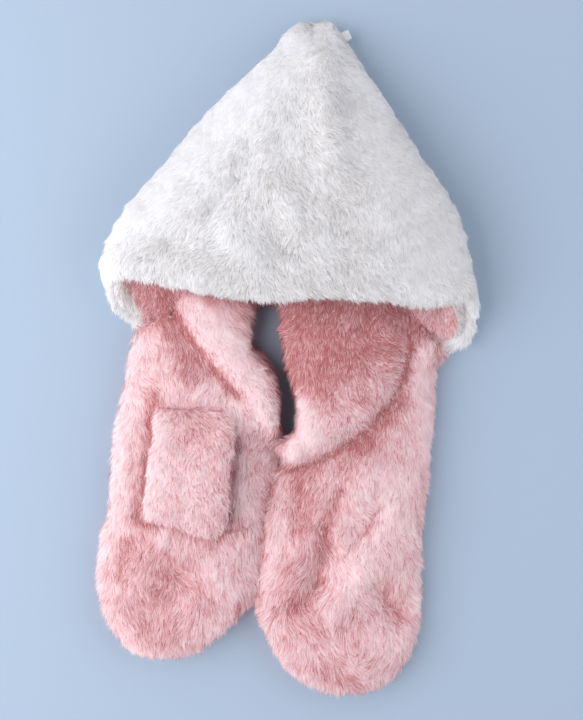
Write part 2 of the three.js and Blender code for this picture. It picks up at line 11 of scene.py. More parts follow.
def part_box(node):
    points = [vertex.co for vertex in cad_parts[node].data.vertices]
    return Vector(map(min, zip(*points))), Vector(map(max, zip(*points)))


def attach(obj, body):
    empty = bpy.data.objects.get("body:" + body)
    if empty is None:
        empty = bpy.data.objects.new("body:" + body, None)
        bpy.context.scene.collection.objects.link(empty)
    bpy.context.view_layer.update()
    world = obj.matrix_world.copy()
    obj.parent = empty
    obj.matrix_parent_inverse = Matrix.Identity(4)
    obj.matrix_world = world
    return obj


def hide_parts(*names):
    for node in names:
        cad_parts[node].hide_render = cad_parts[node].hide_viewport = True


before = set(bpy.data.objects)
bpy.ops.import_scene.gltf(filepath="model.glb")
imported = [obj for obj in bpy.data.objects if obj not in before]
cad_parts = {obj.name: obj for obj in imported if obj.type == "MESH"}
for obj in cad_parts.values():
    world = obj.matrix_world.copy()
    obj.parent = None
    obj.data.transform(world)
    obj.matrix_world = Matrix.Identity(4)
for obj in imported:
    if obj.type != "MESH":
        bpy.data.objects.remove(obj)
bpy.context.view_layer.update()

# The view. Places named in pixels are places of the 583 by 720 picture, whose middle looks at view_middle.
picture_middle = (291.5, 360.0)
view_middle = Vector((0.00306, -0.00286, 0.02))
pixel = 0.001  # what a pixel spans at the height of view_middle
picture_height = 720
lens = 80
sensor = 36
floor_size = 60

# The light. The room is lit by height, from 0 at the horizon to 1 straight up, and is darker overhead.
Lamp = namedtuple("Lamp", "name place size power color")
lamps = [
    Lamp("key", (-1.15, 0.05, 1.0), 1.5, 19.5, (1.0, 0.99, 0.98)),
    Lamp("fill", (1.3, 0.1, 0.8), 1.5, 4.5, (1.0, 0.99, 1.0)),
]
room_color = (0.93, 0.96, 1.0)
overhead_color = (0.06, 0.055, 0.06)
room_stops = [(0.0, room_color), (0.5, room_color), (0.85, overhead_color)]
room_strength = 1.2

# The skins under the pile: how finely each is remeshed, and how far it is drawn in under the pile
weld = 0.00001  # points nearer to each other than this become one
hood_voxel = 0.005
scarf_voxel = 0.005
loop_voxel = 0.003
lining_voxel = 0.0035
hood_inset = 0.0045
lining_inset = -0.002  # the lining bulges towards the shell
scarf_inset = 0.005
loop_inset = 0.0025
smoothing = 0.5
skin_rounds = 4  # of smoothing, before a skin is drawn in
lining_rounds = 3
last_rounds = 2  # after it
millimetre = 0.001
tiny = 1e-9  # the least length that anything is divided by

press_force = 4
press_cap = 0.002  # how far the padding may press a skin out
press_frames = 20
press_quality = 3

# The open sky over a skin
sky_reach = 0.2  # a surface that meets another one within this distance isn't in the open
sky_start = 0.002  # how far above the skin the looks at the sky start
sky_rings = ((0.4, 4), (0.85, 6))  # the sine of each ring's tilt from the normal, and its number of looks
sky_rounds = 2  # how often the share of open sky is evened out between neighbouring points
ground_reach = 2  # how far the ground under the object shuts off the sky

# The pile
peak_pile = 0.006
white_pile = 0.0085
brim_pile = 0.0095
pink_pile = 0.012
turned_pile = 0.0075  # on the roll and the lapel
loop_pile = 0.0085
lining_pile = 0.006
hair_width = 0.0008
hairs_per_lock = 6
least_height = 0.0006  # above the floor, of a skin and of each hair's middle and tip
glow = 0.35  # the share of the light that passes through a hair
sheen = 0.1

# Where the pile grows: nowhere that less of the sky is open than bare_below, and elsewhere the denser the
# more is open. It is denser on what looks up than on an upright wall, and thinnest underneath.
bare_below = 0.02
shaded_growth = 0.3
upright_growth = 0.75
facing_growth = 0.45
under_growth = 0.3

# How the pile is combed
comb_strength = 3.0  # how much a stroke outweighs the way that the pile lies without it
comb_spread = 1.3  # how far a stroke is felt, as a share of its reach
comb_fall = 0.35  # how far the pile points down
comb_out = 0.9  # how far it points outwards on an upright wall
nudge = 1e-6  # gives what looks straight down a way to point
down = (0.0, -1.0)
out_of_mouth = (0.15, -1.0)
fan_point = (320, -20)  # in pixels: past the peak, where the ways of the hood's pile meet
fan_fall = 0.25  # how much of their way is straight down the hood

# How hairs differ: a spread is how much single ones do, and limits are where that is cut off. In a wave
# they turn, rise or pale together by about much, over about size metres.
Wave = namedtuple("Wave", "size much")
ripples_per_wave = 7
ripple_limits = (0.6, 1.5)  # how fast its ripples vary, as shares of the wave
turn_waves = [Wave(0.012, 0.3), Wave(0.045, 0.25)]
rise_wave = Wave(0.02, 0.2)
tone_waves = [Wave(0.03, 0.03), Wave(0.008, 0.02)]
way_spread = 0.12
length_spread = 0.22
length_limits = (0.45, 1.6)
rise_spread = 0.25
rise_limits = (0.25, 2.2)
root_rise = 0.35  # how much steeper a hair stands below its middle
tip_fall = 0.25  # how much flatter it lies above its middle
middle_pull = 0.3  # how much of the tips' pull towards their lock the middles feel
pull_limits = (0.4, 1.0)
width_limits = (0.7, 1.3)
side_spread = 0.5  # how much hairs turn about their own length

# How deep or pale the pile is: 0 is the deepest tone and 1 the palest
plain_tone = 0.66  # of an open, unfolded stretch
painted_sky_shade = 0.45  # painted shade: how much darker the pile is painted where nothing of the sky is open
hair_tone = 0.25  # how much single hairs differ
lock_tone = 0.3  # how much of such a difference a whole lock shares
tone_limits = (0.14, 0.86)  # before single hairs differ
hair_limits = (0.01, 0.99)
edge_tone = 0.004  # how far a hair's two sides differ from its middle

# How much the pile's normals have of the skin's, of each half of a hair's own and of straight up, since
# light scatters through the pile
skin_normal = 1.6
leaf_normal = 0.3
upward_lean = 0.5
least_facing = 0.05  # a normal nearer than this to square with its hair gives way to the hair's own

# The tag, folded double, and how it lies
tag_length = 0.0155  # from its cut ends to its fold
tag_width = 0.01
tag_thickness = 0.0003
tag_cells = (24, 6)
fold_height = 0.0006  # from the middle of the fold to each layer
ripple_height = 0.0004
ripple_turn = 6  # radians of the ripple from edge to edge
tag_turn = math.radians(26)
tag_shift = Vector((-0.0038, -0.003, 0))  # from the middle of the CAD tag

# Strokes of the comb, read off the picture: at x, y in pixels the tips point way degrees from +X, and the
# stroke turns the pile around it within about reach pixels.
Stroke = namedtuple("Stroke", "x y way reach")
hood_strokes = [
    Stroke(271, 97, -100, 16), Stroke(305, 103, -55, 14), Stroke(293, 79, -80, 10),
    Stroke(231, 120, -95, 20), Stroke(193, 192, -118, 25), Stroke(245, 175, -115, 12),
    Stroke(279, 140, -110, 14), Stroke(314, 132, -20, 14), Stroke(305, 166, -50, 14),
    Stroke(271, 192, -25, 12), Stroke(230, 200, -125, 14), Stroke(253, 181, -105, 10),
    Stroke(286, 206, -40, 12), Stroke(326, 176, -40, 16), Stroke(245, 228, -60, 14),
    Stroke(386, 219, -110, 14), Stroke(361, 231, -75, 16), Stroke(316, 249, -45, 12),
    Stroke(237, 258, -165, 14), Stroke(253, 269, -95, 12), Stroke(286, 286, -52, 16),
    Stroke(336, 277, -38, 20), Stroke(386, 294, -48, 20), Stroke(427, 299, -55, 14),
    Stroke(178, 245, -125, 14), Stroke(213, 259, -160, 14), Stroke(148, 258, -115, 10),
    Stroke(189, 283, -52, 14), Stroke(225, 277, -100, 12), Stroke(254, 279, -90, 12),
    Stroke(266, 291, -70, 10), Stroke(130, 275, -50, 10), Stroke(400, 150, -30, 45),
    Stroke(440, 240, -60, 25), Stroke(120, 240, -120, 15), Stroke(428, 318, -150, 14),
    Stroke(440, 338, -140, 12), Stroke(162, 312, -60, 10), Stroke(148, 320, -75, 10),
]
left_tail_strokes = [
    Stroke(186, 308, -60, 12), Stroke(194, 325, -52, 12), Stroke(210, 345, -48, 12),
    Stroke(228, 365, -46, 12), Stroke(245, 385, -50, 12), Stroke(260, 405, -60, 12),
    Stroke(150, 381, -30, 10), Stroke(174, 384, -85, 12), Stroke(198, 382, -105, 10),
    Stroke(210, 395, -70, 10), Stroke(246, 372, -45, 14), Stroke(185, 318, -150, 8),
    Stroke(237, 313, -40, 10), Stroke(250, 340, -25, 10), Stroke(265, 427, -100, 10),
    Stroke(277, 418, -20, 6), Stroke(246, 445, -120, 12), Stroke(241, 469, -115, 12),
    Stroke(150, 330, -35, 9), Stroke(164, 323, -50, 8), Stroke(125, 445, -95, 14),
    Stroke(137, 467, -60, 8), Stroke(124, 554, -95, 14), Stroke(153, 566, -100, 12),
    Stroke(176, 568, 20, 7), Stroke(190, 575, -40, 7), Stroke(163, 580, -160, 7),
    Stroke(170, 592, -90, 6), Stroke(142, 600, -40, 9), Stroke(165, 618, -90, 10),
    Stroke(193, 612, -105, 10), Stroke(228, 589, -100, 12), Stroke(222, 629, -135, 10),
    Stroke(159, 646, -80, 10), Stroke(119, 618, -60, 8),
]
loop_strokes = [
    Stroke(180, 433, -95, 14), Stroke(216, 433, -50, 10), Stroke(204, 414, -30, 8),
    Stroke(186, 469, -90, 14), Stroke(222, 481, -60, 10), Stroke(155, 499, -120, 8),
    Stroke(192, 511, -100, 10),
]
right_tail_strokes = [
    Stroke(318, 338, -85, 12), Stroke(343, 326, -120, 10), Stroke(355, 341, -60, 8),
    Stroke(379, 344, -20, 10), Stroke(391, 345, -10, 8), Stroke(385, 369, -12, 10),
    Stroke(349, 382, -50, 12), Stroke(373, 378, -75, 8), Stroke(324, 387, -75, 12),
    Stroke(355, 405, -50, 10), Stroke(331, 429, -95, 10), Stroke(300, 405, -160, 8),
    Stroke(286, 363, 170, 8), Stroke(290, 330, -175, 6), Stroke(421, 369, -80, 12),
    Stroke(409, 411, -80, 14), Stroke(415, 345, -10, 8), Stroke(330, 486, -120, 12),
    Stroke(359, 463, -100, 14), Stroke(365, 486, -92, 14), Stroke(411, 497, -120, 8),
    Stroke(411, 538, -40, 8), Stroke(353, 503, -60, 10), Stroke(319, 515, -90, 8),
    Stroke(330, 543, -15, 8), Stroke(342, 561, -25, 8), Stroke(319, 561, -125, 8),
    Stroke(296, 526, -60, 12), Stroke(279, 538, -85, 10), Stroke(273, 509, -150, 8),
    Stroke(302, 463, -115, 10), Stroke(290, 497, -80, 12), Stroke(307, 549, -120, 8),
    Stroke(267, 583, -100, 10), Stroke(288, 592, -115, 10), Stroke(307, 600, -10, 8),
    Stroke(302, 615, -45, 10), Stroke(313, 635, -58, 12), Stroke(290, 623, -50, 10),
    Stroke(275, 608, 180, 6), Stroke(342, 589, -88, 14), Stroke(365, 586, -60, 10),
    Stroke(397, 610, -50, 10), Stroke(411, 589, -30, 8), Stroke(371, 623, -75, 12),
    Stroke(388, 629, -88, 10), Stroke(397, 652, -120, 8), Stroke(330, 652, -55, 12),
    Stroke(353, 666, -20, 8), Stroke(371, 660, -150, 8), Stroke(319, 675, -80, 10),
    Stroke(423, 331, -110, 9), Stroke(436, 347, -95, 8),
]

# Folds, ridges and dents, read off the picture: from x0, y0 to x1, y1, about reach pixels to each side, the
# skin is lifted by rise millimetres, and tone paints light on the pile, or shade where tone is negative.
Fold = namedtuple("Fold", "x0 y0 x1 y1 reach rise tone")
lining_folds = [
    Fold(145, 285, 160, 315, 22, 0, -0.28), Fold(166, 290, 172, 320, 7, 0, -0.6),
    Fold(415, 312, 440, 340, 14, 0, -0.1),
]
hood_folds = [
    Fold(320, 57, 326, 110, 14, 4, -0.05), Fold(326, 110, 334, 169, 14, 4, -0.08),
    Fold(257, 151, 242, 180, 8, -2, 0.02), Fold(242, 180, 219, 209, 8, -3, -0.06),
    Fold(219, 209, 175, 243, 7, -2, -0.05), Fold(205, 170, 160, 225, 14, 3, 0.04),
    Fold(230, 230, 250, 256, 10, 3, 0.08), Fold(284, 203, 296, 234, 9, 3, 0.15),
    Fold(270, 238, 284, 258, 12, -3, -0.15), Fold(145, 199, 150, 204, 10, -2, -0.1),
    Fold(168, 246, 176, 242, 9, -2, -0.12), Fold(312, 247, 318, 245, 12, 3, 0.1),
    Fold(384, 219, 392, 219, 14, 3, 0.05), Fold(314, 26, 314, 44, 3, -2, -0.3),
    Fold(298, 24, 303, 40, 8, 0, 0.3), Fold(324, 24, 332, 40, 7, 0, 0.25),
    Fold(330, 60, 342, 80, 12, 0, 0.15), Fold(358, 75, 375, 105, 10, 0, 0.2),
    Fold(311, 58, 325, 53, 4, -2, -0.3), Fold(312, 92, 313, 150, 8, 0, -0.12),
    Fold(290, 232, 292, 250, 10, 0, -0.12), Fold(216, 185, 222, 200, 10, 0, 0.1),
    Fold(300, 110, 290, 150, 12, -2, 0.05), Fold(345, 110, 352, 160, 16, -2, 0.0),
    Fold(400, 285, 440, 295, 9, 2, 0.1), Fold(340, 215, 348, 260, 12, -2, -0.1),
    Fold(295, 45, 240, 110, 26, 0, 0.35), Fold(230, 130, 150, 215, 30, 0, 0.06),
    Fold(118, 225, 108, 262, 16, 0, 0.15), Fold(285, 190, 300, 240, 26, 0, -0.13),
    Fold(345, 195, 365, 235, 25, 0, -0.1), Fold(225, 280, 400, 290, 18, 0, -0.12),
    Fold(125, 250, 225, 262, 15, 0, -0.1), Fold(216, 160, 214, 196, 11, 0, 0.15),
    Fold(282, 262, 292, 266, 10, 0, 0.15),
]
left_tail_folds = [
    Fold(130, 345, 125, 400, 8, 0, 0.4), Fold(125, 400, 114, 483, 9, 0, 0.4),
    Fold(114, 483, 103, 545, 10, 0, 0.4), Fold(100, 560, 101, 610, 9, 0, 0.15),
    Fold(101, 606, 124, 644, 9, 0, 0.15), Fold(124, 644, 165, 655, 8, 0, 0.3),
    Fold(151, 418, 150, 451, 5, -2, -0.7), Fold(150, 451, 140, 512, 5, -2, -0.6),
    Fold(172, 290, 178, 314, 5, -1, -0.8), Fold(178, 314, 203, 350, 5, -2, -0.9),
    Fold(203, 350, 238, 391, 5, -2, -0.8), Fold(168, 325, 195, 365, 12, 0, -0.4),
    Fold(185, 365, 215, 385, 12, 0, -0.1), Fold(198, 403, 227, 403, 4, -2, -0.2),
    Fold(152, 396, 151, 416, 6, 0, -0.4), Fold(237, 432, 235, 470, 6, -2, -0.3),
    Fold(235, 470, 231, 512, 6, -2, -0.25), Fold(144, 518, 164, 517, 2, -3, -0.5),
    Fold(164, 517, 185, 525, 2, -3, -0.5), Fold(211, 540, 222, 527, 3, -3, -0.6),
    Fold(222, 527, 248, 520, 3, -2, -0.5), Fold(264, 505, 265, 552, 4, -2, -0.5),
    Fold(164, 529, 168, 533, 7, 2, 0.25), Fold(128, 535, 124, 570, 8, -2, -0.35),
    Fold(166, 584, 174, 592, 14, -2, -0.18), Fold(140, 600, 150, 616, 14, -2, -0.2),
    Fold(214, 558, 229, 583, 8, 2, 0.12), Fold(160, 634, 166, 639, 6, -1, -0.2),
    Fold(250, 430, 262, 505, 12, 0, -0.1), Fold(187, 560, 205, 600, 14, 0, -0.2),
    Fold(206, 618, 226, 628, 10, 2, 0.15), Fold(150, 388, 160, 392, 5, -2, -0.4),
    Fold(194, 300, 214, 335, 9, 0, 0.35), Fold(214, 335, 252, 378, 9, 0, 0.4),
    Fold(252, 378, 272, 420, 9, 0, 0.35), Fold(136, 330, 133, 352, 7, 0, 0.4),
    Fold(222, 302, 250, 316, 8, 0, 0.05), Fold(236, 308, 252, 330, 8, 0, -0.08),
    Fold(245, 350, 275, 395, 7, 0, -0.05), Fold(205, 315, 232, 345, 14, 0, 0.3),
    Fold(168, 605, 200, 625, 16, 0, -0.1), Fold(165, 545, 172, 565, 10, 0, -0.2),
    Fold(168, 616, 175, 630, 10, 0, -0.18), Fold(238, 595, 236, 630, 9, 0, -0.2),
    Fold(140, 530, 160, 580, 16, 0, -0.2), Fold(205, 385, 245, 410, 12, 0, 0.22),
    Fold(241, 452, 241, 495, 9, 0, 0.3), Fold(122, 600, 150, 630, 12, 0, -0.14),
]
loop_folds = [
    Fold(166, 414, 152, 505, 6, 1, 0.2), Fold(200, 415, 190, 440, 10, -1, -0.25),
    Fold(187, 440, 184, 490, 9, -1, 0.1), Fold(222, 426, 225, 515, 6, 1, -0.1),
    Fold(165, 430, 155, 500, 12, 0, 0.15),
]
right_tail_folds = [
    Fold(286, 306, 440, 312, 5, 0, -0.25), Fold(372, 311, 362, 332, 7, -3, -0.4),
    Fold(330, 306, 310, 320, 4, -2, -0.3), Fold(282, 306, 290, 345, 9, 0, -0.6),
    Fold(285, 340, 297, 372, 8, 0, -0.5), Fold(297, 372, 293, 395, 6, 0, -0.4),
    Fold(315, 325, 365, 385, 30, 0, -0.58), Fold(312, 357, 322, 362, 10, -1, -0.3),
    Fold(306, 400, 311, 430, 7, 2, 0.5), Fold(311, 430, 286, 452, 7, 2, 0.4),
    Fold(397, 330, 392, 376, 8, 1, -0.15), Fold(386, 382, 360, 418, 6, 1, 0.0),
    Fold(360, 418, 306, 454, 6, 1, 0.05), Fold(410, 320, 403, 366, 4, -2, -0.7),
    Fold(403, 366, 388, 405, 4, -2, -0.7), Fold(388, 405, 352, 438, 5, -2, -0.65),
    Fold(352, 438, 310, 461, 5, -2, -0.6), Fold(310, 461, 289, 465, 5, -2, -0.5),
    Fold(398, 395, 362, 440, 10, -1, -0.45), Fold(372, 440, 345, 462, 12, -1, -0.3),
    Fold(269, 482, 262, 532, 6, -2, -0.45), Fold(299, 480, 297, 522, 9, -2, -0.3),
    Fold(340, 486, 325, 528, 7, -3, -0.38), Fold(325, 528, 321, 580, 9, -4, -0.32),
    Fold(321, 580, 292, 603, 9, -2, -0.35), Fold(375, 504, 359, 537, 6, -1, -0.3),
    Fold(382, 584, 394, 612, 12, -4, -0.4), Fold(312, 470, 312, 510, 10, 0, -0.15),
    Fold(368, 470, 357, 500, 9, 2, 0.15), Fold(403, 472, 392, 509, 9, 2, 0.2),
    Fold(392, 509, 358, 562, 10, 3, 0.22), Fold(358, 562, 333, 603, 10, 2, 0.22),
    Fold(276, 515, 269, 578, 8, 2, 0.15), Fold(418, 555, 412, 605, 6, 0, 0.25),
    Fold(290, 672, 340, 690, 8, 0, 0.2), Fold(420, 370, 426, 450, 9, 0, 0.15),
    Fold(340, 640, 360, 650, 12, 0, -0.1), Fold(385, 620, 395, 640, 12, 0, 0.12),
    Fold(440, 330, 425, 345, 8, 0, 0.5), Fold(312, 375, 322, 395, 12, 0, -0.3),
    Fold(375, 318, 425, 330, 13, 0, -0.3), Fold(358, 338, 385, 345, 12, 0, -0.5),
    Fold(365, 375, 375, 395, 14, 0, 0.2), Fold(315, 665, 350, 680, 14, 0, -0.25),
    Fold(282, 590, 292, 630, 12, 0, -0.1), Fold(292, 565, 312, 625, 11, 0, -0.22),
    Fold(340, 585, 345, 620, 12, 0, -0.18), Fold(350, 382, 392, 384, 13, 0, 0.25),
    Fold(348, 400, 365, 412, 10, 0, 0.15), Fold(312, 475, 308, 555, 15, 0, -0.17),
    Fold(385, 478, 408, 530, 11, 0, 0.18),
]
tail_folds = left_tail_folds + right_tail_folds

# How long the hood's pile is, as pairs of a row of the picture and the length there
hood_lengths = [(25, peak_pile), (90, white_pile), (255, white_pile), (295, brim_pile)]

# Where the pile is parted into pieces: the hood's at a column, the scarf's at a row under the neck and along
# the line between the two tails, as pairs of a row and the column there
hood_middle = 300
neck_row = 400
gap_line = [(300, 262), (340, 272), (400, 290), (430, 289), (465, 276), (520, 267), (590, 257), (620, 240)]

# The edge between the white rim band and the pink inside of the hood at each chin corner, in like pairs, and
# the row under which the hood's own pile is pink between the two bands
left_band = [(277, 123), (295, 131), (305, 138), (313, 142), (330, 147)]
right_band = [(305, 452), (311, 454), (327, 455), (337, 450), (345, 444), (357, 434)]
chin_row = 303

# Down both sides of the gap, the pile is longer towards the floor, and painted shade makes it darker there
Strip = namedtuple("Strip", "x0 y0 x1 y1 reach")
gap_strips = [Strip(264, 300, 266, 345, 22), Strip(270, 345, 290, 400, 16), Strip(290, 400, 288, 430, 12)]
gap_height = 0.045
gap_painted_shade = 1.2
gap_stretch = 0.6
gap_share = 0.15  # a hair that is deeper in the gap than this belongs to the gap's pile

# Where the pile is even, so that single hairs hardly show
calm_strips = [
    Strip(375, 110, 435, 245, 50), Strip(255, 80, 140, 215, 24), Strip(300, 40, 325, 40, 18),
    Strip(424, 370, 428, 520, 12), Strip(205, 300, 245, 350, 14), Strip(302, 400, 298, 440, 10),
]
calm = 0.7

# Where the white rim faces the light, a painted highlight makes the pile paler
painted_rim_highlight = [Strip(102, 270, 112, 300, 13), Strip(112, 300, 136, 330, 13), Strip(470, 320, 440, 352, 15)]
painted_highlight_tone = 0.5

# Where the pile is short: along the roll on the left and over the lapel on the right
trims = [Strip(190, 305, 275, 425, 20), Strip(350, 310, 335, 425, 50), Strip(395, 330, 385, 380, 22)]

# Where an upright wall stands out, or in where rise is negative, in millimetres
Swell = namedtuple("Swell", "x0 y0 x1 y1 reach rise")
scarf_swells = [
    Swell(280, 442, 275, 470, 12, 7), Swell(275, 470, 268, 520, 10, 5),
    Swell(268, 520, 260, 575, 10, 4), Swell(409, 345, 400, 392, 9, -6),
    Swell(400, 392, 372, 432, 9, -7), Swell(372, 432, 322, 464, 9, -6),
    Swell(178, 315, 196, 345, 9, -6), Swell(196, 345, 238, 396, 9, -6),
    Swell(252, 330, 248, 344, 8, -7), Swell(298, 415, 286, 438, 7, 4), Swell(279, 452, 277, 466, 9, 8),
    Swell(134, 331, 165, 320, 7, 5), Swell(165, 320, 177, 308, 7, 5), Swell(414, 310, 429, 329, 8, 9),
    Swell(429, 329, 441, 348, 8, 9),
]
loop_swells = [
    Swell(157, 410, 161, 407, 8, 3), Swell(142, 510, 146, 514, 8, 3), Swell(228, 412, 232, 416, 8, 2),
]
rim_swells = [
    Swell(117, 280, 125, 297, 12, 4), Swell(125, 297, 136, 316, 12, 4),
    Swell(456, 311, 457, 330, 12, 4), Swell(457, 330, 444, 348, 12, 4), Swell(300, 28, 328, 28, 16, 5),
    Swell(138, 327, 164, 318, 7, 4), Swell(164, 318, 174, 308, 7, 4), Swell(418, 312, 430, 327, 8, 8),
    Swell(431, 329, 442, 346, 8, 8),
]


def on_object(x, y):
    """The place on the object, in plan, of a pixel of the picture."""
    across = view_middle.x + (x - picture_middle[0]) * pixel
    return across, view_middle.y - (y - picture_middle[1]) * pixel


def only(piece):
    """Selects one piece and makes it the active one."""
    bpy.ops.object.select_all(action="DESELECT")
    piece.select_set(True)
    bpy.context.view_layer.objects.active = piece


def modify(piece, kind, **settings):
    """Adds a modifier with its settings and applies it."""
    only(piece)
    modifier = piece.modifiers.new(kind.lower(), kind)
    for name, value in settings.items():
        setattr(modifier, name, value)
    bpy.ops.object.modifier_apply(modifier=modifier.name)


class Value:
    """A shader socket that Python's operators work on: each one adds its Math node."""

    def __init__(self, shader, socket):
        self.shader = shader
        self.socket = socket

    def math(self, operation, *values):
        node = self.shader.node("ShaderNodeMath", {"operation": operation}, dict(enumerate(values)))
        return Value(self.shader, node.outputs[0])

    def __add__(self, other):
        return self.math("ADD", self, other)

    def __radd__(self, other):
        return self.math("ADD", other, self)

    def __mul__(self, other):
        return self.math("MULTIPLY", self, other)

    def __rmul__(self, other):
        return self.math("MULTIPLY", other, self)


class Shader:
    """The node tree of a material, or of the world, filled by one method."""

    def __init__(self, owner):
        self.owner = owner
        self.owner.use_nodes = True
        self.tree = owner.node_tree
        self.tree.nodes.clear()

    def node(self, kind, settings=None, inputs=None):
        """A node of a type, its settings set first, then the values or links of its sockets."""
        node = self.tree.nodes.new(kind)
        for name, value in (settings or {}).items():
            if name == "stops":
                self.set_stops(node.color_ramp, value)
            else:
                setattr(node, name, value)
        for name, value in (inputs or {}).items():
            if isinstance(value, Value):
                self.tree.links.new(value.socket, node.inputs[name])
            else:
                node.inputs[name].default_value = value
        return node

    def value(self, kind, output, settings=None, inputs=None):
        """One output of a new node, as a value."""
        return Value(self, self.node(kind, settings, inputs).outputs[output])

    def set_stops(self, ramp, stops):
        while len(ramp.elements) < len(stops):
            ramp.elements.new(1)
        for element, (place, color) in zip(ramp.elements, stops):
            element.position = place
            element.color = (*color, 1)

    def ramp(self, value, stops):
        return self.value("ShaderNodeValToRGB", "Color", {"stops": stops}, {"Fac": value})

    def noise(self, scale, detail):
        """Noise that lies still on the object."""
        place = self.value("ShaderNodeTexCoord", "Object")
        inputs = {"Vector": place, "Scale": scale, "Detail": detail}
        return self.value("ShaderNodeTexNoise", "Fac", None, inputs)

    def bump(self, height, strength, distance):
        inputs = {"Strength": strength, "Distance": distance, "Height": height}
        return self.value("ShaderNodeBump", "Normal", None, inputs)

    def mix(self, share, first, second, blend="MIX"):
        """Two colours mixed; a plain colour is given as three numbers."""
        colors = [(*c, 1) if isinstance(c, tuple) else c for c in (first, second)]
        settings = {"data_type": "RGBA", "blend_type": blend}
        return self.value("ShaderNodeMix", 2, settings, {0: share, 6: colors[0], 7: colors[1]})

    def finish(self, inputs, through=0):
        """The material with a surface of these inputs, which lets the share through of the light through."""
        surface = self.value("ShaderNodeBsdfPrincipled", "BSDF", None, inputs)
        if through:
            back = self.value("ShaderNodeBsdfTranslucent", "BSDF", None, {"Color": inputs["Base Color"]})
            surface = self.value("ShaderNodeMixShader", "Shader", None, {0: through, 1: surface, 2: back})
        self.node("ShaderNodeOutputMaterial", None, {"Surface": surface})
        return self.owner


def pile_material(name, along_stops, tone_stops):
    """Hairs: their own UV map runs from root to tip along v, and from deep to pale hairs along u, a tone
    that carries painted light and shade.
    """
    shader = Shader(bpy.data.materials.new(name))
    uv = shader.value("ShaderNodeUVMap", "UV", {"uv_map": "OFBake"})
    parts = shader.node("ShaderNodeSeparateXYZ", None, {"Vector": uv})
    tone = Value(shader, parts.outputs["X"])
    along = Value(shader, parts.outputs["Y"])
    color = shader.mix(1.0, shader.ramp(along, along_stops), shader.ramp(tone, tone_stops), "MULTIPLY")
    return shader.finish({
        "Base Color": color,
        "Roughness": 0.75,
        "Specular IOR Level": 0.25,
        "Sheen Weight": sheen,
        "Sheen Roughness": 0.5,
    }, glow)


def backing_material(name, color, deep):
    """The knitted backing between the roots of the pile."""
    shader = Shader(bpy.data.materials.new(name))
    blotch = shader.noise(scale=60.0, detail=3.0)
    grain = shader.noise(scale=900.0, detail=2.0)
    blotch_share = 0.6
    shade = shader.mix(blotch * blotch_share + grain * (1 - blotch_share), deep, color)
    bump = shader.bump(grain, strength=0.5, distance=0.001)
    return shader.finish({"Base Color": shade, "Roughness": 0.95, "Normal": bump})


def tag_material():
    """Fine woven tape: two crossed sets of threads, white and blank."""
    shader = Shader(bpy.data.materials.new("woven_tape"))
    place = shader.value("ShaderNodeTexCoord", "Object")
    threads = {"Vector": place, "Scale": 900.0}
    warp = shader.value("ShaderNodeTexWave", "Fac", {"bands_direction": "X"}, threads)
    weft = shader.value("ShaderNodeTexWave", "Fac", {"bands_direction": "Y"}, threads)
    weave = warp * weft
    shade = shader.mix(weave, (0.74, 0.75, 0.76), (0.9, 0.9, 0.9))
    bump = shader.bump(weave, strength=0.3, distance=0.0002)
    return shader.finish({"Base Color": shade, "Roughness": 0.8, "Normal": bump})


def floor_material():
    shader = Shader(bpy.data.materials.new("pale_floor"))
    drift = shader.noise(scale=1.5, detail=1.0)
    shade = shader.mix(drift, (0.435, 0.54, 0.685), (0.45, 0.56, 0.705))
    return shader.finish({"Base Color": shade, "Roughness": 0.9, "Specular IOR Level": 0.1})


def near(points, mark):
    """How near each point is to a mark's line: 1 on it, fading to 0 over about the mark's reach."""
    start, end = (np.array(on_object(x, y)) for x, y in ((mark.x0, mark.y0), (mark.x1, mark.y1)))
    way = end - start
    share = ((points[:, :2] - start) @ way / (way @ way)).clip(0, 1)[:, None]
    away = np.linalg.norm(points[:, :2] - start - share * way, axis=1) / (mark.reach * pixel)
    return np.exp(-away * away)


def near_all(points, marks, field=None):
    """The nearness of each point to all the marks, each times its own value in field, if one is named."""
    total = np.zeros(len(points))
    for mark in marks:
        total += near(points, mark) * (getattr(mark, field) if field else 1)
    return total


def skin(name, node, voxel, inset, rounds, folds, swells):
    """A padded skin under the pile: a copy of a CAD node's mesh, remeshed, smoothed, drawn in and folded.

    Folds lift or sink the faces that look up, and swells push the upright ones out or in.
    """
    piece = bpy.data.objects.new(name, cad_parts[node].data.copy())
    bpy.context.scene.collection.objects.link(piece)
    only(piece)
    bpy.ops.object.mode_set(mode="EDIT")
    bpy.ops.mesh.select_all(action="SELECT")
    bpy.ops.mesh.remove_doubles(threshold=weld)
    bpy.ops.object.mode_set(mode="OBJECT")
    modify(piece, "REMESH", mode="VOXEL", voxel_size=voxel)
    modify(piece, "SMOOTH", factor=smoothing, iterations=rounds)
    modify(piece, "DISPLACE", strength=-inset, mid_level=0)
    modify(piece, "SMOOTH", factor=smoothing, iterations=last_rounds)
    press_out(piece)
    places = vertex_array(piece.data, "co")
    normals = vertex_array(piece.data, "normal")
    lifted = near_all(places, folds, "rise") * normals[:, 2].clip(0, 1)
    swollen = near_all(places, swells, "rise") * (1 - np.abs(normals[:, 2]))
    places += normals * (millimetre * (lifted + swollen))[:, None]
    places[:, 2] = np.maximum(places[:, 2], least_height)
    set_places(piece, places)
    bpy.ops.object.shade_smooth()
    return piece


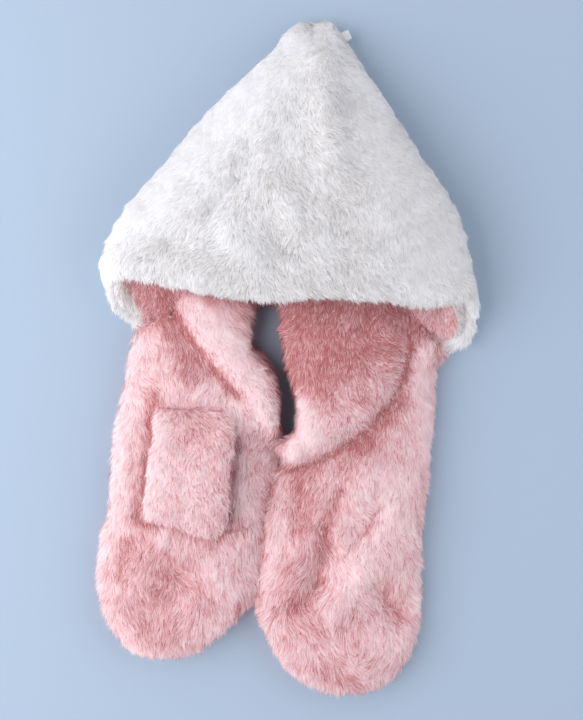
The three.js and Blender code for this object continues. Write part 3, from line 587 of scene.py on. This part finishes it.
def press_out(piece):
    """Lets the padding press a skin out as cloth, held at its sides and moving no farther than press_cap."""
    before = vertex_array(piece.data, "co")
    upward = vertex_array(piece.data, "normal")[:, 2]
    held = piece.vertex_groups.new(name="held")
    for vertex, rise in enumerate(upward):
        held.add([vertex], 1 - max(0.0, float(rise)) ** 2, "REPLACE")
    modifier = piece.modifiers.new("padding", "CLOTH")
    modifier.settings.vertex_group_mass = held.name
    modifier.settings.quality = press_quality
    modifier.settings.use_pressure = True
    modifier.settings.uniform_pressure_force = press_force
    modifier.settings.effector_weights.gravity = 0
    modifier.point_cache.frame_end = press_frames
    for number in range(1, press_frames + 1):
        bpy.context.scene.frame_set(number)
    only(piece)
    bpy.ops.object.modifier_apply(modifier=modifier.name)
    bpy.context.scene.frame_set(1)
    moves = vertex_array(piece.data, "co") - before
    far = np.linalg.norm(moves, axis=1, keepdims=True)
    set_places(piece, before + moves * np.minimum(1, press_cap / np.maximum(far, tiny)))


def dress(piece, material, slot, *nodes):
    """Gives a piece its finish, its body and the CAD nodes that it stands for. The slot is not used."""
    piece.data.materials.clear()
    piece.data.materials.append(material)
    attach(piece, "root")
    if nodes:
        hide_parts(*nodes)


def set_places(piece, places):
    piece.data.vertices.foreach_set("co", places.astype(np.float32).ravel())
    piece.data.update()


def vertex_array(mesh, name):
    """The places or the normals of a mesh's vertices, a row for each."""
    numbers = np.empty(len(mesh.vertices) * 3, np.float32)
    if name == "normal":
        mesh.vertex_normals.foreach_get("vector", numbers)
    else:
        mesh.vertices.foreach_get(name, numbers)
    return numbers.reshape(-1, 3).astype(float)


def unit(vectors):
    return vectors / np.maximum(np.linalg.norm(vectors, axis=1, keepdims=True), tiny)


def dot(first, second):
    return (first * second).sum(axis=1, keepdims=True)


def surroundings(pieces):
    """One search tree of the skins and the ground, for finding what hides a place."""
    points = []
    faces = []
    for piece in pieces:
        start = len(points)
        points += [vertex.co for vertex in piece.data.vertices]
        faces += [[start + i for i in face.vertices] for face in piece.data.polygons]
    start = len(points)
    points += [Vector((x, y, 0)) * ground_reach for x, y in ((-1, -1), (1, -1), (1, 1), (-1, 1))]
    faces.append([start, start + 1, start + 2, start + 3])
    return BVHTree.FromPolygons(points, faces)


def open_sky(piece, tree):
    """For each vertex, the share of the directions around its normal that nothing near shuts off."""
    looks = []
    for tilt, count in sky_rings:
        for turn in np.arange(count) * math.tau / count:
            looks.append(Vector((math.cos(turn) * tilt, math.sin(turn) * tilt, math.sqrt(1 - tilt * tilt))))
    looks.append(Vector((0, 0, 1)))
    shares = np.zeros(len(piece.data.vertices))
    for vertex in piece.data.vertices:
        turn = vertex.normal.to_track_quat("Z", "Y")
        start = vertex.co + vertex.normal * sky_start
        free = sum(tree.ray_cast(start, turn @ look, sky_reach)[0] is None for look in looks)
        shares[vertex.index] = free / len(looks)
    return evened(piece.data, shares)


def evened(mesh, shares):
    """A value for each vertex, evened out between neighbours."""
    ends = np.empty(2 * len(mesh.edges), np.int32)
    mesh.edges.foreach_get("vertices", ends)
    first, second = ends.reshape(-1, 2).T
    for _ in range(sky_rounds):
        total = shares.copy()
        count = np.ones(len(shares))
        for here, there in ((first, second), (second, first)):
            np.add.at(total, here, shares[there])
            np.add.at(count, here, 1)
        shares = total / count
    return shares


def together(points, wave, seed):
    """Smooth noise about zero, mostly within wave.much, that varies over about wave.size."""
    rng = np.random.default_rng(seed)
    total = np.zeros(len(points))
    for _ in range(ripples_per_wave):
        way = rng.normal(size=3)
        way *= math.tau / (wave.size * np.linalg.norm(way))
        total += np.sin(points @ way * rng.uniform(*ripple_limits) + rng.uniform(0, math.tau))
    return total / math.sqrt(ripples_per_wave) * wave.much


def sow(piece, sky, count, seed):
    """Places count roots over a skin, and gives each one's place, normal and share of open sky."""
    mesh = piece.data
    mesh.calc_loop_triangles()
    corners = np.empty(len(mesh.loop_triangles) * 3, np.int32)
    mesh.loop_triangles.foreach_get("vertices", corners)
    corners = corners.reshape(-1, 3)
    places = vertex_array(mesh, "co")
    normals = vertex_array(mesh, "normal")
    a, b, c = (places[corners[:, i]] for i in range(3))
    area = np.linalg.norm(np.cross(b - a, c - a), axis=1)
    shown = sky[corners].mean(axis=1)
    upward = normals[corners].mean(axis=1)[:, 2]
    weight = area * np.where(shown < bare_below, 0, shaded_growth + shown)
    weight *= np.clip(upright_growth + facing_growth * upward, under_growth, 1)
    ladder = np.cumsum(weight) / weight.sum()

    rng = np.random.default_rng(seed)
    pick = np.searchsorted(ladder, (np.arange(count) + rng.random(count)) / count).clip(0, len(ladder) - 1)
    u, v = rng.random((2, count))
    over = u + v > 1
    u[over] = 1 - u[over]
    v[over] = 1 - v[over]
    shares = np.stack([1 - u - v, u, v], axis=1)[:, :, None]
    roots = (places[corners[pick]] * shares).sum(axis=1)
    ups = unit((normals[corners[pick]] * shares).sum(axis=1))
    open_share = (sky[corners[pick]] * shares[:, :, 0]).sum(axis=1)
    order = rng.permutation(count)
    return roots[order], ups[order], open_share[order]


def combed(roots, ups, base, strokes):
    """The way that the pile lies at each root, in the surface: a base way, turned near each stroke."""
    total = unit(base)
    for stroke in strokes:
        centre = np.array(on_object(stroke.x, stroke.y))
        away = np.linalg.norm(roots[:, :2] - centre, axis=1) / (stroke.reach * pixel * comb_spread)
        turn = math.radians(stroke.way)
        weight = comb_strength * np.exp(-away * away)
        total = total + weight[:, None] * np.array([math.cos(turn), math.sin(turn)])
    flow = np.column_stack([unit(total), np.full(len(roots), -comb_fall)])
    flow[:, :2] += comb_out * (1 - np.clip(ups[:, 2:3], 0, 1)) * unit(ups[:, :2] + nudge)
    return unit(flow - ups * dot(flow, ups))


def grow(name, roots, ups, ways, tones, lengths, lifts, clump, seed):
    """A mesh of hairs, narrow leaves of two triangles bent at the middle, whose tips gather in locks."""
    rng = np.random.default_rng(seed)
    count = len(roots)
    jitter = rng.normal(size=(count, 3))
    jitter -= ups * dot(jitter, ups)
    wander = sum(together(roots, wave, seed + number) for number, wave in enumerate(turn_waves, 1))[:, None]
    across = np.cross(ups, ways)
    ways = unit(ways * np.cos(wander) + across * np.sin(wander) + way_spread * jitter)
    stretch = 1 + length_spread * rng.normal(size=count)
    half = 0.5 * (lengths * stretch.clip(*length_limits))[:, None]
    rise = 1 + together(roots, rise_wave, seed + 3) + rise_spread * rng.normal(size=count)
    rise = (lifts * rise.clip(*rise_limits))[:, None]
    middles = roots + half * unit(ways + ups * (rise + root_rise))
    tips = middles + half * unit(ways + ups * (rise - tip_fall))

    centres = lock_centres(middles)
    pull = clump * rng.uniform(*pull_limits, (count, 1))
    tips += pull * (tips[centres] - tips)
    middles += middle_pull * pull * (middles[centres] - middles)
    for points in (middles, tips):
        points[:, 2] = np.maximum(points[:, 2], least_height)
    side = unit(np.cross(unit(tips - roots), ups + side_spread * jitter))
    side *= (0.5 * hair_width * rng.uniform(*width_limits, count))[:, None]

    tones = tones + sum(together(roots, wave, number) for number, wave in enumerate(tone_waves, 5))
    calmed = 1 - calm * near_all(roots, calm_strips).clip(0, 1)
    tones += hair_tone * calmed * (rng.normal(size=count) + lock_tone * rng.normal(size=count)[centres])
    return leaves(name, roots, middles - side, middles + side, tips, ups, tones.clip(*hair_limits))


def lock_centres(middles):
    """For each hair, the number of the one that its lock gathers at: one hair in hairs_per_lock is such."""
    centres = np.arange(0, len(middles), hairs_per_lock)
    tree = KDTree(len(centres))
    for number, centre in enumerate(centres):
        tree.insert(middles[centre], number)
    tree.balance()
    return centres[np.array([tree.find(place)[1] for place in middles])]


def leaves(name, roots, left, right, tips, ups, tones):
    """Joins the hairs' corners into one mesh with its UV map and soft normals."""
    count = len(roots)
    corners = np.stack([roots, right, left, tips], axis=1).reshape(-1, 3)
    turned = dot(np.cross(right - roots, left - roots), ups) < 0
    first = np.where(turned, [0, 2, 1], [0, 1, 2])
    second = np.where(turned, [1, 2, 3], [2, 1, 3])
    triangles = np.stack([first, second], axis=1) + (4 * np.arange(count))[:, None, None]
    mesh = bpy.data.meshes.new(name)
    mesh.vertices.add(4 * count)
    mesh.vertices.foreach_set("co", corners.astype(np.float32).ravel())
    mesh.loops.add(6 * count)
    mesh.loops.foreach_set("vertex_index", triangles.astype(np.int32).ravel())
    mesh.polygons.add(2 * count)
    mesh.polygons.foreach_set("loop_start", np.arange(0, 6 * count, 3, dtype=np.int32))
    mesh.update(calc_edges=True)

    along = np.array([0.0, 0.5, 0.5, 1.0])
    aside = np.array([0.0, edge_tone, -edge_tone, 0.0])
    uv = np.stack([tones[:, None] + aside, np.broadcast_to(along, (count, 4))], axis=2).reshape(-1, 2)
    layer = mesh.uv_layers.new(name="OFBake")
    layer.uv.foreach_set("vector", uv[triangles.ravel()].astype(np.float32).ravel())

    flat = unit(np.cross(right - roots, left - roots)) * np.where(turned, -1, 1)
    bent = unit(np.cross(right - left, tips - left)) * np.where(turned, -1, 1)
    soft = unit(skin_normal * ups + leaf_normal * flat + leaf_normal * bent + np.array([0, 0, upward_lean]))
    keeps = (dot(soft, flat) > least_facing) & (dot(soft, bent) > least_facing)
    soft = np.where(keeps, soft, unit(flat + bent))
    mesh.normals_split_custom_set_from_vertices(np.repeat(soft, 4, axis=0).tolist())
    piece = bpy.data.objects.new(name, mesh)
    bpy.context.scene.collection.objects.link(piece)
    return piece


# A coat's side tone is painted light that makes the pile on upright walls paler, and its shine strips are
# painted highlights
Coat = namedtuple("Coat", "count strokes folds shine flow length lift side_lift side_tone clump seed")


def pile(skin_piece, tree, coat, split, *parts):
    """Grows a skin's pile and hands it over in parts, each with a name and a finish."""
    roots, ups, open_share = sow(skin_piece, open_sky(skin_piece, tree), coat.count, coat.seed)
    ways = combed(roots, ups, coat.flow(roots), coat.strokes)
    sideways = 1 - ups[:, 2].clip(0, 1)
    # Painted shade where little of the sky is open, and painted light that makes upright walls paler
    tones = plain_tone + painted_sky_shade * (open_share - 1) + coat.side_tone * sideways
    # Painted light and shade along the folds, on what looks up
    tones += near_all(roots, coat.folds, "tone") * (1 - sideways)
    # Painted highlight on the white rim
    tones += painted_highlight_tone * near_all(roots, coat.shine)
    # Painted shade low on the walls of the gap
    tones = (tones - gap_painted_shade * in_gap(roots)).clip(*tone_limits)
    lifts = coat.lift * (1 + coat.side_lift * sideways)
    lengths = coat.length(roots)
    place = split(roots)
    for number, (name, material, slot) in enumerate(parts):
        own = place == number
        seed = coat.seed + 10 * number
        piece = grow(
            name, roots[own], ups[own], ways[own], tones[own], lengths[own], lifts[own], coat.clump, seed)
        piece.visible_shadow = name == "gap_pile"  # light passes between fine hairs, except deep in the gap
        dress(piece, material, slot)


def from_peak(roots):
    """Down the hood, fanning out from its peak."""
    return unit(roots[:, :2] - np.array(on_object(*fan_point))) + np.array([0, -fan_fall])


def straight(way):
    """The same way all over."""
    return lambda roots: np.tile(way, (len(roots), 1))


def even(length):
    """The same length all over."""
    return lambda roots: np.full(len(roots), length)


def hood_length(roots):
    """Short on the peak, longest at the brim."""
    rows, lengths = zip(*reversed(hood_lengths))
    return np.interp(roots[:, 1], [on_object(0, row)[1] for row in rows], lengths)


def scarf_length(roots):
    """Long on the tails, short on the roll and the lapel, and longer deep in the gap."""
    short = near_all(roots, trims).clip(0, 1)
    return (pink_pile + short * (turned_pile - pink_pile)) * (1 + gap_stretch * in_gap(roots))


def in_gap(roots):
    """1 low on the walls of the gap between the tails, fading to 0 away from there."""
    low = (1 - roots[:, 2] / gap_height).clip(0, 1)
    return near_all(roots, gap_strips).clip(0, 1) * low


def across_at(roots, line):
    """How far across a line that runs down the picture lies at the height of each root."""
    places = np.array([on_object(x, y) for y, x in line])
    return np.interp(-roots[:, 1], -places[:, 1], places[:, 0])


def in_rim_band(roots):
    """Where the white rim band covers the corners of the mouth: outside the two edge lines."""
    return (roots[:, 0] < across_at(roots, left_band)) | (roots[:, 0] > across_at(roots, right_band))


def by_tail(roots):
    """0 on the left tail, 1 on the right one, 2 round the neck, and 3 low in the gap."""
    right = (roots[:, 0] > across_at(roots, gap_line)).astype(int)
    place = np.where(roots[:, 1] > on_object(0, neck_row)[1], 2, right)
    return np.where(in_gap(roots) > gap_share, 3, place)


def by_half(roots):
    """0 on the hood's left half, 1 on its right one, and 2 under the chin, inside the rim band."""
    right = (roots[:, 0] > on_object(hood_middle, 0)[0]).astype(int)
    chin = (roots[:, 1] < on_object(0, chin_row)[1]) & ~in_rim_band(roots)
    return np.where(chin, 2, right)


def by_band(roots):
    """0 inside the hood, and 1 where the white rim band turns over the lining."""
    return in_rim_band(roots).astype(int)


def whole(roots):
    return np.zeros(len(roots), int)


def make_tag():
    """A blank tape folded double, its two cut ends sewn in beside the peak."""
    low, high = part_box("seam_label")
    columns, rows = tag_cells
    bpy.ops.object.select_all(action="DESELECT")
    bpy.ops.mesh.primitive_grid_add(x_subdivisions=columns, y_subdivisions=rows, size=1)
    piece = bpy.context.active_object
    piece.name = "woven_tag"
    for vertex in piece.data.vertices:
        along = (vertex.co.x + 0.5) * math.tau / 2
        ripple = ripple_height * math.sin(ripple_turn * vertex.co.y)
        vertex.co.z = fold_height * math.cos(along) + ripple
        vertex.co.x = tag_length * (math.sin(along) - 0.5)
        vertex.co.y *= tag_width
    piece.data.transform(Matrix.Rotation(tag_turn, 4, "Z"))
    piece.data.transform(Matrix.Translation((low + high) / 2 + tag_shift))
    modify(piece, "SOLIDIFY", thickness=tag_thickness, offset=0)
    only(piece)
    bpy.ops.object.shade_smooth()
    dress(piece, tag_material(), "tag_cloth", "seam_label")


def make_camera():
    data = bpy.data.cameras.new("camera")
    data.lens = lens
    data.sensor_width = sensor
    camera = bpy.data.objects.new("camera", data)
    distance = picture_height * pixel * lens / sensor
    camera.location = view_middle + Vector((0, 0, distance))
    bpy.context.scene.collection.objects.link(camera)
    bpy.context.scene.camera = camera


def make_lamp(lamp):
    """A square lamp that faces the middle of the object."""
    light = bpy.data.lights.new(lamp.name, "AREA")
    light.energy = lamp.power
    light.size = lamp.size
    light.color = lamp.color
    piece = bpy.data.objects.new(lamp.name, light)
    piece.location = lamp.place
    piece.rotation_euler = (-Vector(lamp.place)).to_track_quat("-Z", "Y").to_euler()
    bpy.context.scene.collection.objects.link(piece)


def make_room():
    """A pale room that is darker overhead, where no lamp hangs."""
    world = bpy.data.worlds.new("studio")
    shader = Shader(world)
    way = shader.value("ShaderNodeTexCoord", "Generated")
    height = shader.value("ShaderNodeSeparateXYZ", "Z", None, {"Vector": way})
    room = {"Color": shader.ramp(height, room_stops), "Strength": room_strength}
    light = shader.value("ShaderNodeBackground", "Background", None, room)
    shader.node("ShaderNodeOutputWorld", None, {"Surface": light})
    bpy.context.scene.world = world
    bpy.context.scene.view_settings.view_transform = "Standard"


def make_floor():
    bpy.ops.object.select_all(action="DESELECT")
    bpy.ops.mesh.primitive_plane_add(size=floor_size)
    floor = bpy.context.active_object
    floor.name = "floor"
    floor.data.materials.append(floor_material())


make_camera()
for lamp in lamps:
    make_lamp(lamp)
make_room()
make_floor()

hood = skin("hood_skin", "hood_shell", hood_voxel, hood_inset, skin_rounds, hood_folds, rim_swells)
lining = skin("lining_skin", "hood_lining", lining_voxel, lining_inset, lining_rounds, [], [])
scarf = skin("scarf_skin", "scarf", scarf_voxel, scarf_inset, skin_rounds, tail_folds, scarf_swells)
loop = skin("loop_skin", "scarf_loop", loop_voxel, loop_inset, skin_rounds, loop_folds, loop_swells)
skins = [hood, lining, scarf, loop]
around = surroundings(skins)

white_backing = backing_material("white_backing", (0.86, 0.83, 0.8), (0.74, 0.7, 0.66))
pink_backing = backing_material("pink_backing", (0.78, 0.42, 0.44), (0.66, 0.3, 0.32))
dress(hood, white_backing, "white_fur", "hood_shell")
dress(lining, pink_backing, "pink_lining", "hood_lining")
dress(scarf, pink_backing, "pink_fur", "scarf")
dress(loop, pink_backing, "loop_fur", "scarf_loop")

# Along a hair from root to tip, and from the deepest tone to the palest
white_hair = pile_material(
    "white_pile",
    [(0.0, (0.78, 0.77, 0.77)), (0.4, (0.95, 0.945, 0.945)), (1.0, (1.0, 1.0, 1.0))],
    [(0.0, (0.5, 0.475, 0.47)), (0.4, (0.72, 0.71, 0.715)), (0.75, (0.85, 0.85, 0.865)),
     (1.0, (0.94, 0.94, 0.96))])
pink_hair = pile_material(
    "pink_pile",
    [(0.0, (0.66, 0.47, 0.48)), (0.45, (0.93, 0.88, 0.88)), (1.0, (1.0, 1.0, 1.0))],
    [(0.0, (0.58, 0.22, 0.23)), (0.35, (0.78, 0.5, 0.525)), (0.7, (0.89, 0.755, 0.785)),
     (1.0, (0.95, 0.89, 0.905))])

hood_coat = Coat(
    count=165000, strokes=hood_strokes, folds=hood_folds, shine=painted_rim_highlight, flow=from_peak,
    length=hood_length, lift=0.33, side_lift=-0.5, side_tone=0.15, clump=0.25, seed=11)
lining_coat = Coat(
    count=16000, strokes=[], folds=lining_folds, shine=[], flow=straight(out_of_mouth),
    length=even(lining_pile), lift=0.45, side_lift=0.0, side_tone=0.15, clump=0.3, seed=12)
scarf_coat = Coat(
    count=240000, strokes=left_tail_strokes + right_tail_strokes, folds=tail_folds, shine=[],
    flow=straight(down), length=scarf_length, lift=0.33, side_lift=0.8, side_tone=0.12, clump=0.3, seed=13)
loop_coat = Coat(
    count=20000, strokes=loop_strokes, folds=loop_folds, shine=[], flow=straight(down),
    length=even(loop_pile), lift=0.33, side_lift=0.2, side_tone=0.1, clump=0.4, seed=14)
pile(hood, around, hood_coat, by_half,
     ("hood_pile_left", white_hair, "white_fur"), ("hood_pile_right", white_hair, "white_fur"),
     ("chin_pile", pink_hair, "pink_lining"))
pile(lining, around, lining_coat, by_band,
     ("lining_pile", pink_hair, "pink_lining"), ("rim_pile", white_hair, "white_fur"))
pile(scarf, around, scarf_coat, by_tail,
     ("left_tail_pile", pink_hair, "pink_fur"), ("right_tail_pile", pink_hair, "pink_fur"),
     ("neck_pile", pink_hair, "pink_fur"), ("gap_pile", pink_hair, "pink_fur"))
pile(loop, around, loop_coat, whole, ("loop_pile", pink_hair, "loop_fur"))

make_tag()
